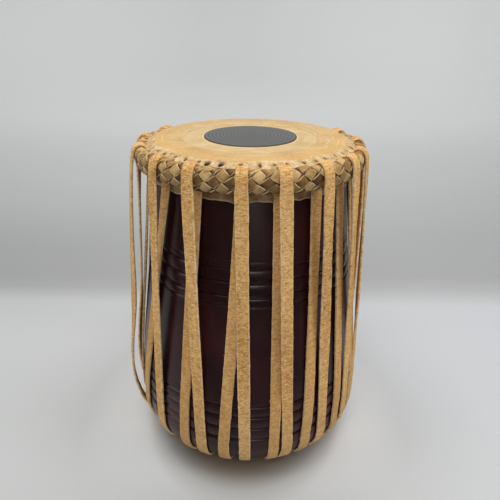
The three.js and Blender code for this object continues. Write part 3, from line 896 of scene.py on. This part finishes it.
def woven_hide():
    s = Shader("woven_hide", Specular_IOR_Level=0.22)
    lay = s.attribute("lay", "Vector")
    _, x, lift = s.split(lay)
    stain = s.noise(s.where, 180, 5, 0.62)
    fine = s.stretched_noise(lay, (500, 1500, 1), 4, 0.6)
    shade = s.plus(s.attribute("tone"), s.times(s.math("SUBTRACT", stain, 0.5), 0.9))
    base = s.ramp(shade, (0.0, (0.08, 0.036, 0.011)), (0.3, (0.18, 0.088, 0.027)),
                  (0.62, (0.38, 0.212, 0.073)), (1.0, (0.7, 0.46, 0.2)))
    # Painted shade on the thongs' downward face.
    base = s.tint(base, s.attribute("under"), 0.62, (0.05, 0.026, 0.01))
    base = s.tint(base, s.below(fine, 0.4, 0.55), 0.3, (0.13, 0.075, 0.03))
    edge = s.past(s.math("ABSOLUTE", x), 2.8 * MM, 2500)
    base = s.tint(base, edge, 0.7, (0.74, 0.56, 0.3))
    # Painted shade where each thong dives under the other hand's thongs.
    dive_shade = s.short_of(lift, 0.5 * MM, 1400)
    s.colour(s.tint(base, dive_shade, 0.8, (0.03, 0.015, 0.006)))
    s.roughness(stain, 0.3, 0.36)
    s.bump(s.plus(fine, stain), 0.4 * MM, 0.5)
    return s.material


def gap_shade_hide():
    s = Shader("gap_shade_hide", Roughness=0.9, Specular_IOR_Level=0.1)
    # Painted shade: a near black brown that stands in for the shadow in the gaps.
    s.colour(s.ramp(s.noise(s.where, 240), (0.35, (0.02, 0.01, 0.004)), (0.65, (0.09, 0.05, 0.02))))
    s.bump(s.noise(s.where, 600, 3), 0.4 * MM, 0.5)
    return s.material


def disc_skin():
    s = Shader("pale_skin", Roughness=0.6, Specular_IOR_Level=0.3)
    around, radius = s.round_place(back=PASTE_BACK)
    cloud = s.noise(s.where, 60, 5, 0.62)
    scrape = s.noise(around, 1.0, 4, 0.6)
    base = s.ramp(cloud, (0.3, (0.54, 0.36, 0.16)), (0.5, (0.62, 0.435, 0.21)), (0.7, (0.69, 0.52, 0.29)))
    base = s.tint(base, s.above(scrape, 0.5, 0.7), 0.45, (0.82, 0.66, 0.41))
    close = s.short_of(radius, 41.1 * MM, 900)
    s.colour(s.tint(base, close, 0.6, (0.84, 0.68, 0.42)))
    s.bump(s.plus(s.noise(s.where, 420, 4, 0.6), scrape), 0.3 * MM, 0.35)
    return s.material


def collar_hide():
    s = Shader("golden_skin", Specular_IOR_Level=0.32)
    y = s.split(s.where)[1]
    around, radius = s.round_place()
    cloud = s.noise(s.where, 48, 5, 0.62)
    fine = s.noise(s.where, 430, 4, 0.6)
    scrape = s.noise(around, 1.0, 4, 0.6)
    base = s.ramp(cloud, (0.3, (0.5, 0.3, 0.115)), (0.5, (0.61, 0.395, 0.165)), (0.7, (0.7, 0.48, 0.23)))
    behind = s.plus(s.times(y, 9), 0.2, clamp=True)
    base = s.tint(base, behind, 0.45, (0.55, 0.41, 0.235))
    place = s.plus(radius, s.times(s.math("SUBTRACT", cloud, 0.5), 6 * MM))
    across = s.math("DIVIDE", s.math("SUBTRACT", place, COLLAR_INNER), 26 * MM)
    golden = s.ramp(across, (0.35, BLACK), (0.7, WHITE), (0.88, WHITE), (0.93, BLACK))
    ahead = s.math("SUBTRACT", 0.75, s.times(y, 7), clamp=True)
    base = s.tint(base, s.times(golden, ahead), 0.6, (0.66, 0.37, 0.1))
    line = s.ramp(across, (0.58, BLACK), (0.61, WHITE), (0.64, BLACK))
    patchy = s.above(s.stretched_noise(s.where, (16, 16, 16), 2), 0.42, 0.58)
    base = s.tint(base, s.times(line, patchy), 0.5, (0.4, 0.2, 0.06))
    base = s.tint(base, s.above(scrape, 0.58, 0.68), 0.55, (0.86, 0.7, 0.44))
    base = s.tint(base, s.above(fine, 0.56, 0.66), 0.35, (0.86, 0.7, 0.46))
    rim = s.short_of(place, 57.3 * MM, 700)
    base = s.tint(base, rim, 0.55, (0.86, 0.68, 0.4))
    apron = s.past(place, 79.6 * MM, 900)
    blotch = s.noise(s.where, 210, 5, 0.66)
    mottled = s.ramp(blotch, (0.3, (0.25, 0.13, 0.055)), (0.42, (0.5, 0.32, 0.14)),
                     (0.55, (0.68, 0.48, 0.25)), (0.7, (0.82, 0.68, 0.45)))
    base = s.tint(base, apron, 0.85, mottled)
    # Painted shade: the holes are painted near black inside.
    s.colour(s.mix(s.times(s.attribute("hole"), 3, clamp=True), base, (0.018, 0.011, 0.007)))
    s.roughness(cloud, 0.2, 0.45)
    bumps = s.plus(s.times(fine, 0.6), s.times(blotch, apron))
    s.bump(s.plus(bumps, s.times(scrape, 0.3)), 0.5 * MM, 0.5)
    return s.material


def hem_hide():
    s = Shader("hem_skin", Roughness=0.75, Specular_IOR_Level=0.3)
    # Partly painted shade: the hem's dark brown is its own colour and also the shade below the woven ring.
    base = s.ramp(s.noise(s.where, 62, 5, 0.66), (0.3, (0.1, 0.045, 0.018)), (0.48, (0.28, 0.15, 0.065)),
                  (0.66, (0.58, 0.38, 0.19)))
    s.colour(s.tint(base, s.above(s.attribute("drop"), 0.93, 0.98), 0.6, (0.62, 0.45, 0.26)))
    s.bump(s.noise(s.where, 350, 5, 0.6), 0.6 * MM, 0.6)
    return s.material


def paste():
    s = Shader("black_paste", Specular_IOR_Level=0.42)
    around, radius = s.round_place(3, 900, PASTE_BACK)
    wobble = s.times(s.noise(s.where, 45, 2), 1.2 * MM)
    rings = s.math("SINE", s.times(s.plus(radius, wobble), TURN * PASTE_LAYERS / (40 * MM)))
    fine = s.noise(around, 1.0, 3, 0.6)
    grit = s.noise(s.where, 1500, 3, 0.7)
    base = s.ramp(s.plus(s.times(grit, 0.6), s.times(fine, 0.4)),
                  (0.35, (0.048, 0.047, 0.046)), (0.65, (0.108, 0.105, 0.103)))
    base = s.tint(base, s.plus(s.times(rings, 0.5), 0.5), 0.6, (0.215, 0.211, 0.207))
    rim = s.past(radius, 38.3 * MM, 900)
    s.colour(s.tint(base, rim, 0.75, (0.07, 0.05, 0.038)))
    s.roughness(fine, 0.25, 0.4)
    s.bump(s.plus(s.times(grit, 0.4), s.times(rings, 0.5)), 0.2 * MM, 0.5)
    return s.material


def raw_hide():
    s = Shader("raw_hide", Roughness=0.85, Specular_IOR_Level=0.25)
    s.colour(s.ramp(s.noise(s.where, 70, 5, 0.62), (0.3, (0.2, 0.12, 0.055)), (0.5, (0.36, 0.235, 0.115)),
                    (0.7, (0.5, 0.36, 0.2))))
    s.bump(s.noise(s.where, 420, 5, 0.65), 0.6 * MM, 0.6)
    return s.material


# Stage, light and camera

def grey_ramp(s, value, *stops):
    return s.ramp(value, *((place, (tone, tone, tone)) for place, tone in stops))


def paper_tone(s, x, far):
    """The paper's painted light and shade by distance, on its left and its right side. It is darkest, a
    painted shade, where it bends up.
    """
    left = s.ramp(far, (0.11, (0.55, 0.56, 0.55)), (0.15, (0.57, 0.58, 0.57)), (0.2, (0.635, 0.645, 0.635)),
                  (0.24, (0.61, 0.62, 0.61)), (0.258, (0.45, 0.456, 0.45)), (0.272, (0.42, 0.425, 0.42)),
                  (0.312, (0.45, 0.456, 0.45)), (0.408, (0.6, 0.61, 0.6)), (0.728, (0.85, 0.86, 0.85)))
    right = s.ramp(far, (0.11, (0.61, 0.62, 0.625)), (0.2, (0.655, 0.665, 0.685)), (0.24, (0.66, 0.67, 0.69)),
                   (0.258, (0.52, 0.526, 0.52)), (0.275, (0.46, 0.465, 0.46)), (0.312, (0.49, 0.496, 0.49)),
                   (0.408, (0.6, 0.61, 0.6)), (0.728, (0.85, 0.86, 0.85)))
    return s.mix(s.plus(s.times(x, 1.6), 0.5, clamp=True), left, right)


def centre_dusk(s, x, far):
    """Painted shade: a darkening of the backdrop's upper middle."""
    sideways = s.plus(s.times(x, 0.5), 0.5)
    high = grey_ramp(s, sideways, (0.0, 1), (0.2, 0.94), (0.4, 0.85), (0.5, 0.85), (0.7, 0.94), (0.85, 1))
    return s.mix(s.past(far, 0.68, 6), WHITE, high)


def near_tones(s, x, y):
    """Painted light and shade on the floor: how much lighter the floor is painted beside the drum, and the
    painted shadow below it.
    """
    aside = s.times(s.plus(x, 0.004), 1.2)
    reach = s.times(s.length(aside, s.plus(y, 0.017)), 5)
    painted_light_near = grey_ramp(s, reach, (0.46, 0), (0.58, 1), (0.98, 0))
    painted_light_near = s.times(painted_light_near, s.plus(s.times(x, 0.4), 0.73, clamp=True))
    painted_light_near = s.times(painted_light_near, s.times(s.plus(y, 0.125), 12, clamp=True))
    # Painted shadow below the drum.
    under = s.ramp(reach, (0.37, (0.39, 0.31, 0.24)), (0.43, (0.59, 0.54, 0.49)), (0.5, (0.86, 0.84, 0.82)),
                   (0.6, WHITE))
    return painted_light_near, under


def paper():
    s = Shader("pale_paper", Roughness=0.9, Specular_IOR_Level=0.1, Emission_Color=(1, 1, 1, 1))
    x, y, z = s.split(s.where)
    far = s.math("DIVIDE", s.plus(s.plus(y, z), 0.4), 2.5)
    dusk = centre_dusk(s, x, far)
    painted_light_near, under = near_tones(s, x, y)
    tone = s.mix(painted_light_near, paper_tone(s, x, far), (0.94, 0.95, 0.94))
    tone = s.mix(1.0, s.mix(1.0, tone, dusk, "MULTIPLY"), under, "MULTIPLY")
    ray = s.add("LightPath").outputs
    # Painted shade in reflections: to glossy rays the floor in front of the drum is near black.
    mirrored = s.times(s.short_of(y, -0.13, 9), ray["Is Glossy Ray"])
    s.colour(s.tint(tone, mirrored, 0.85, (0.03, 0.03, 0.03)))
    # Painted light: the paper glows to the camera, more the further back it lies.
    glow = grey_ramp(s, far, (0.344, 0), (0.408, 0.03), (0.488, 0.09), (0.6, 0.15), (0.92, 0.2))
    glow = s.mix(1.0, glow, dusk, "MULTIPLY")
    s.put(s.surface.inputs["Emission Strength"], s.times(glow, ray["Is Camera Ray"]))
    return s.material


def backdrop():
    """A pale floor that curves up into a backdrop."""
    front, depth, height, half, bend = -2.2, 1.15, 2.6, 3.2, 0.5
    curve = [(y, 0.0) for y in np.linspace(front, depth, 12)]
    curve += [(depth + bend * math.sin(a), bend * (1 - math.cos(a)))
              for a in np.linspace(0, math.pi / 2, 14)[1:]]
    curve += [(depth + bend, z) for z in np.linspace(bend, height, 8)[1:]]
    points = [(x, y, z) for y, z in curve for x in (-half, half)]
    faces = [(2 * k, 2 * k + 1, 2 * k + 3, 2 * k + 2) for k in range(len(curve) - 1)]
    floor = mesh_object("backdrop", points, faces, paper())


def area_light(name, place, size, power, height=0.15):
    """A rectangular lamp that faces the drum at a height."""
    data = bpy.data.lights.new(name, "AREA")
    data.shape = "RECTANGLE"
    data.size, data.size_y = size
    data.energy = power
    lamp = add_object(name, data)
    lamp.location = place
    lamp.rotation_euler = (Vector((0, 0, height)) - Vector(place)).to_track_quat("-Z", "Y").to_euler()
    return lamp


def lights():
    """A tent of even light, dimmer in reflections, and five lamps."""
    tent, mirrored = 0.21, 0.07
    world = bpy.data.worlds.new("tent")
    bpy.context.scene.world = world
    world.use_nodes = True
    nodes, links = world.node_tree.nodes, world.node_tree.links
    background = nodes["Background"]
    background.inputs["Color"].default_value = (0.95, 0.97, 1, 1)
    path = nodes.new("ShaderNodeLightPath")
    dim = nodes.new("ShaderNodeMath")
    dim.operation = "MULTIPLY_ADD"
    dim.inputs[1].default_value = mirrored - tent
    dim.inputs[2].default_value = tent
    links.new(path.outputs["Is Glossy Ray"], dim.inputs[0])
    links.new(dim.outputs[0], background.inputs["Strength"])
    area_light("top_light", (0, 0.02, 1.25), (1.0, 0.9), 9.6)
    front = area_light("front_light", (-0.1, -1.05, 1.35), (0.9, 0.6), 5.6)
    area_light("left_light", (-1.15, -0.35, 0.55), (0.5, 0.9), 3.3)
    window = area_light("window_light", (0.06, -1.15, 0.34), (0.32, 0.26), 1.9, 0.19)
    right = area_light("right_light", (1.1, -0.45, 0.6), (0.5, 0.8), 4.4)
    front.visible_glossy = right.visible_glossy = False
    window.visible_diffuse = window.visible_camera = False


def camera():
    """The photograph's view: 25 degrees down on the head from about 0.42 m."""
    data = bpy.data.cameras.new("camera")
    view = add_object("camera", data)
    data.sensor_width = data.lens = 36
    data.shift_x = 0.0018
    data.clip_end = 20
    pitch, roll = math.radians(25.2), math.radians(0.65)
    view.location = (0, -0.424, HEAD_TOP + 0.0928)
    view.rotation_mode = "QUATERNION"
    forward = Vector((0, math.cos(pitch), -math.sin(pitch)))
    view.rotation_quaternion = forward.to_track_quat("-Z", "Y") @ Quaternion((0, 0, 1), roll)
    bpy.context.scene.camera = view


def dress(piece, slot, *nodes):
    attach(piece, "root")
    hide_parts(*nodes)


def main():
    bpy.context.scene.view_settings.view_transform = "Standard"
    camera()
    lights()
    backdrop()
    raw = raw_hide()
    dress(shell(lacquer()), "lacquered_wood", "shell")
    dress(lining_skin(raw), "raw_skin", "lining_skin")
    dress(head_skin(disc_skin()), "head_skin", "head_skin")
    dress(hem_skirt(hem_hide()), "head_skin", "head_skin")
    dress(collar_skin(collar_hide()), "collar_skin", "collar_skin")
    dress(black_centre(paste()), "black_paste", "black_centre")
    hide = woven_hide()
    for thong in weave_strands(hide) + weave_ties(hide) + [weave_core(gap_shade_hide())]:
        dress(thong, "woven_hide", "woven_ring")
    dress(base_ring(raw), "raw_skin", "base_ring")
    frames = strap_frames()
    dress(lacing_strap(frames, strap_hide()), "strap_hide", "lacing_strap")
    dress(strap_fibres(frames, fibre_hide()), "strap_hide", "lacing_strap")


main()
